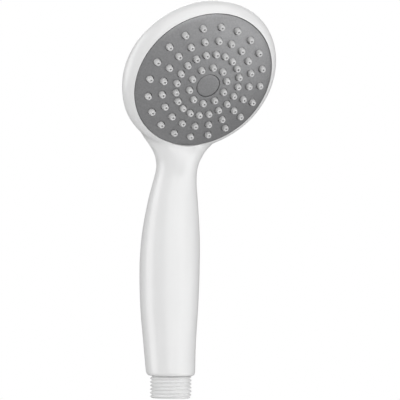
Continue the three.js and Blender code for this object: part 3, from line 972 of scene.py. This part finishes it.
def thread_solid():
    """A long right-handed thread, closed at both ends, to be trimmed to the inlet's length."""
    size = inlet_sizes()
    crest, pitch = size.thread_radius / MM, size.pitch / MM
    root = crest - size.thread_depth / MM
    low, high = root + ROOT_ROUND, crest - CREST_ROUND
    shape = [(root, 0), (low, 0.12), (high, 0.38), (crest, 0.47)]
    shape += [(crest, 0.55), (high, 0.64), (low, 0.9), (root, 1.0)]
    corners = [(r * MM, 0, (share - THREAD_START) * pitch * MM) for r, share in shape]
    thread = chain("thread", corners)
    apply_modifier(
        thread,
        "SCREW",
        axis="Z",
        steps=72,
        render_steps=72,
        iterations=THREAD_TURNS,
        screw_offset=pitch * MM,
        use_merge_vertices=True,
        merge_threshold=1e-6,
        use_normal_calculate=True,
    )
    pick(thread)
    bpy.ops.object.mode_set(mode="EDIT")
    bpy.ops.mesh.select_all(action="SELECT")
    bpy.ops.mesh.remove_doubles(threshold=2e-6)
    middle = (THREAD_TURNS / 2 - 1) * pitch * MM
    for level in (-1, 1):
        select_edges(lambda edge: edge.is_boundary and (edge_height(edge) - middle) * level > 0)
        bpy.ops.mesh.extrude_region_move(TRANSFORM_OT_translate={"value": (0, 0, level * MM)})
        bpy.ops.mesh.merge(type="CENTER")
    bpy.ops.mesh.select_all(action="SELECT")
    bpy.ops.mesh.normals_make_consistent(inside=False)
    bpy.ops.object.mode_set(mode="OBJECT")
    return thread


class SHOWER_OT_inlet_connector(bpy.types.Operator):
    """Model the threaded inlet that carries the hose"""

    bl_idname = "shower.inlet_connector"
    bl_label = "Threaded inlet"

    def execute(self, context):
        size = inlet_sizes()
        crest, top = size.thread_radius / MM, size.thread_top / MM
        root = crest - size.thread_depth / MM
        connector = thread_solid()
        connector.name = connector.data.name = "white_inlet_connector"
        boolean(connector, thread_blank(root, crest, top), "INTERSECT")
        boolean(connector, inlet_shaft(root, top), "UNION")
        grooves = [seal_groove(level) for level in GROOVE_LEVELS]
        cut(connector, inlet_bore(size.mouth_radius / MM), *grooves)
        finish_piece(connector, "inlet_connector", FIXED, "white_acetal_thread", 40)
        return {"FINISHED"}


# ---- Check valve spring -------------------------------------------------------------------


WIRE = 0.28 * MM
COIL_RADIUS = 2.3 * MM
COILS = 4


class SHOWER_OT_valve_spring(bpy.types.Operator):
    """Model the check valve's closing spring as one fixed coil as long as its CAD node; in the valve it
    shortens as the poppet lifts
    """

    bl_idname = "shower.valve_spring"
    bl_label = "Valve spring"

    def execute(self, context):
        low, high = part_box("check_valve_spring")
        climb = (high.z - low.z - 2 * WIRE) / (COILS + 0.5)
        deselect()
        bpy.ops.mesh.primitive_circle_add(vertices=12, radius=WIRE)
        spring = bpy.context.active_object
        spring.name = spring.data.name = "closing_spring"
        bpy.ops.object.mode_set(mode="EDIT")
        bpy.ops.mesh.select_all(action="SELECT")
        bpy.ops.transform.rotate(value=math.pi / 2, orient_axis="X", center_override=(0, 0, 0))
        bpy.ops.transform.translate(value=(COIL_RADIUS, 0, low.z + WIRE))
        bpy.ops.object.mode_set(mode="OBJECT")
        winding = {"axis": "Z", "steps": 40, "render_steps": 40, "iterations": COILS, "screw_offset": climb}
        apply_modifier(spring, "SCREW", **winding)
        pick(spring)
        bpy.ops.object.mode_set(mode="EDIT")
        bpy.ops.mesh.select_all(action="SELECT")
        bpy.ops.mesh.remove_doubles(threshold=1e-7)
        bpy.ops.mesh.select_all(action="DESELECT")
        bpy.ops.mesh.select_mode(type="EDGE")
        bpy.ops.mesh.select_non_manifold()
        bpy.ops.mesh.edge_face_add()
        bpy.ops.object.mode_set(mode="OBJECT")
        finish_piece(spring, "check_valve_spring", FIXED, "stainless_steel", 60)
        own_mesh(spring)
        return {"FINISHED"}


# ---- Finishes of every piece --------------------------------------------------------------


FINISH_OF_SLOT = {
    "inner_white": "natural_acetal",
    "inner_blue": "blue_acetal",
    "seal_rubber": "black_seal_rubber",
    "stainless": "stainless_steel",
    "white_abs": "glossy_white_abs",
    "grey_face": "satin_grey_face",
    "silicone": "pale_silicone",
}


class SHOWER_OT_finishes(bpy.types.Operator):
    """Make the finishes and give them to the inner pieces"""

    bl_idname = "shower.finishes"
    bl_label = "Finishes"

    def execute(self, context):
        f = finishes()
        moulded("glossy_white_abs", f.white, 0.3, spread=0.01, ripple=0.03, coat=0.25, subsurface=0.08)
        moulded("white_acetal_thread", f.white, 0.38, spread=0.015, ripple=0.03, subsurface=0.08)
        grey_finish("satin_grey_face", 1)
        grey_finish("satin_grey_cap", 0.97)
        silicone_finish()
        rubber_finish()
        steel_finish()
        moulded("natural_acetal", (0.66, 0.67, 0.68), 0.42, spread=0.02, grain=0.1, subsurface=0.1)
        moulded("blue_acetal", f.blue, 0.4, spread=0.05, grain=0.1)
        for part in frame["record"]["subparts"]:
            node = frame["nodes"][part["node"]]
            node.data.materials.clear()
            node.data.materials.append(bpy.data.materials[FINISH_OF_SLOT[part["material_slot"]]])
        return {"FINISHED"}


# ---- Stage --------------------------------------------------------------------------------


# Soft boxes round the object: azimuth and elevation from its middle, distance, width, height, watts.
SOFT_BOXES = {
    "key_softbox": (-1, 18, 1.1, 1.7, 1.7, 14.8),
    "left_softbox": (-106, 5, 0.9, 0.6, 1.2, 5.5),
    "right_softbox": (50, -20, 1.0, 0.7, 0.6, 2.3),
    "back_softbox": (160, 45, 1.1, 0.9, 0.9, 7.0),
}
ROOM_LIGHT = 0.2
FLOOR_DROP, FLOOR_SIZE = 0.7, 9
FLOOR_COLOUR = (0.72, 0.72, 0.72)
FLOOR_GLOW, FLOOR_GLOW_SHARE = 1.12, 0.8  # how pale the camera sees the floor
CAMERA_AIM = Vector((6.15, 0, 1.5)) * MM  # from the object's middle
CAMERA_WAY = (-26.76, -2.52, 1.0435)  # azimuth, elevation, distance
CAMERA_ROLL = 0.57
CAMERA_LENS, CAMERA_SENSOR = 188.6, 36


def seen_by_camera(nodes, links, real, seen, share, output):
    """Shows the camera a share of another shader than the one that lights the object."""
    path = nodes.new("ShaderNodeLightPath")
    part = nodes.new("ShaderNodeMath")
    part.operation = "MULTIPLY"
    part.inputs[1].default_value = share
    mix = nodes.new("ShaderNodeMixShader")
    links.new(path.outputs["Is Camera Ray"], part.inputs[0])
    links.new(part.outputs["Value"], mix.inputs["Fac"])
    links.new(real.outputs[0], mix.inputs[1])
    links.new(seen.outputs[0], mix.inputs[2])
    links.new(mix.outputs["Shader"], nodes[output].inputs["Surface"])


def soft_light(name, place, aim, width, height, power):
    """An oblong soft box at a place, turned to its aim."""
    deselect()
    bpy.ops.object.light_add(type="AREA", location=place)
    light = bpy.context.active_object
    light.name = light.data.name = name
    light.data.shape = "RECTANGLE"
    light.data.size, light.data.size_y = width, height
    light.data.energy = power
    light.rotation_euler = (Vector(aim) - Vector(place)).to_track_quat("-Z", "Y").to_euler()
    return light


def placed_round(middle, azimuth, elevation, distance):
    """A place round the object: azimuth 0 is in front, and it grows to the right."""
    a, e = math.radians(azimuth), math.radians(elevation)
    way = Vector((math.sin(a) * math.cos(e), -math.cos(a) * math.cos(e), math.sin(e)))
    return middle + way * distance


class SHOWER_OT_stage(bpy.types.Operator):
    """Set up the pale floor, the soft lights and the camera"""

    bl_idname = "shower.stage"
    bl_label = "Stage"

    def execute(self, context):
        scene = context.scene
        scene.view_settings.view_transform = "Standard"
        middle = (CAD_LOW + CAD_HIGH) / 2
        self.floor(middle)
        self.world(scene)
        for name, (azimuth, elevation, distance, width, height, watts) in SOFT_BOXES.items():
            place = placed_round(middle, azimuth, elevation, distance)
            soft_light(name, place, middle, width, height, watts)
        self.camera(scene, middle)
        return {"FINISHED"}

    def floor(self, middle):
        deselect()
        place = (middle.x, middle.y, CAD_LOW.z - FLOOR_DROP)
        bpy.ops.mesh.primitive_plane_add(size=FLOOR_SIZE, location=place)
        floor = bpy.context.active_object
        floor.name = floor.data.name = "pale_floor"
        material, nodes, links, shader, coordinates = new_material("pale_floor")
        tone = noise(nodes, links, coordinates, 3, 3)
        links.new(tinted(nodes, links, tone, FLOOR_COLOUR, 0.01), shader.inputs["Base Color"])
        shader.inputs["Roughness"].default_value = 0.8
        glow = nodes.new("ShaderNodeEmission")
        links.new(shader.inputs["Base Color"].links[0].from_socket, glow.inputs["Color"])
        glow.inputs["Strength"].default_value = FLOOR_GLOW
        seen_by_camera(nodes, links, shader, glow, FLOOR_GLOW_SHARE, "Material Output")
        floor.data.materials.append(material)

    def world(self, scene):
        world = bpy.data.worlds.new("white_studio")
        world.use_nodes = True
        nodes, links = world.node_tree.nodes, world.node_tree.links
        light = nodes["Background"]
        light.inputs["Color"].default_value = (1, 1, 1, 1)
        light.inputs["Strength"].default_value = ROOM_LIGHT
        seen = nodes.new("ShaderNodeBackground")
        seen.inputs["Color"].default_value = (1, 1, 1, 1)
        seen.inputs["Strength"].default_value = 1.0
        seen_by_camera(nodes, links, light, seen, 1, "World Output")
        scene.world = world

    def camera(self, scene, middle):
        deselect()
        aim = middle + CAMERA_AIM
        place = placed_round(aim, *CAMERA_WAY)
        bpy.ops.object.camera_add(location=place)
        camera = bpy.context.active_object
        camera.name = camera.data.name = "camera"
        roll = Matrix.Rotation(math.radians(CAMERA_ROLL), 4, "Z")
        camera.matrix_world = Matrix.Translation(place) @ (
            (aim - place).to_track_quat("-Z", "Y").to_matrix().to_4x4() @ roll
        )
        camera.data.sensor_width = CAMERA_SENSOR
        camera.data.lens = CAMERA_LENS
        camera.data.clip_start, camera.data.clip_end = 0.01, 50
        scene.camera = camera


# ---- Panel and registration ---------------------------------------------------------------

OPERATORS = (
    SHOWER_OT_finishes,
    SHOWER_OT_handset_body,
    SHOWER_OT_face_plate,
    SHOWER_OT_nozzle_mat,
    SHOWER_OT_screw_cap,
    SHOWER_OT_inlet_connector,
    SHOWER_OT_valve_spring,
    SHOWER_OT_stage,
)
GROUPS = {
    "shower_sizes": HandsetSizes,
    "shower_nozzles": NozzleSizes,
    "shower_inlet": InletSizes,
    "shower_finishes": Finishes,
}


class SHOWER_PT_panel(bpy.types.Panel):
    """Lists the shower head's sizes and the operators that model it"""

    bl_idname = "SHOWER_PT_panel"
    bl_label = "Handheld shower head"
    bl_space_type = "VIEW_3D"
    bl_region_type = "UI"
    bl_category = "Shower"

    def draw(self, context):
        for name, group in GROUPS.items():
            box = self.layout.box()
            for prop in group.__annotations__:
                box.prop(getattr(context.scene, name), prop)
        for operator in OPERATORS:
            self.layout.operator(operator.bl_idname)


def register():
    for cls in (*GROUPS.values(), *OPERATORS, SHOWER_PT_panel):
        bpy.utils.register_class(cls)
    for name, group in GROUPS.items():
        setattr(bpy.types.Scene, name, PointerProperty(type=group))


def unregister():
    for name in GROUPS:
        delattr(bpy.types.Scene, name)
    for cls in reversed((*GROUPS.values(), *OPERATORS, SHOWER_PT_panel)):
        bpy.utils.unregister_class(cls)


def main():
    register()
    for operator in OPERATORS:
        namespace, call = operator.bl_idname.split(".")
        getattr(getattr(bpy.ops, namespace), call)()


if __name__ == "__main__":
    main()
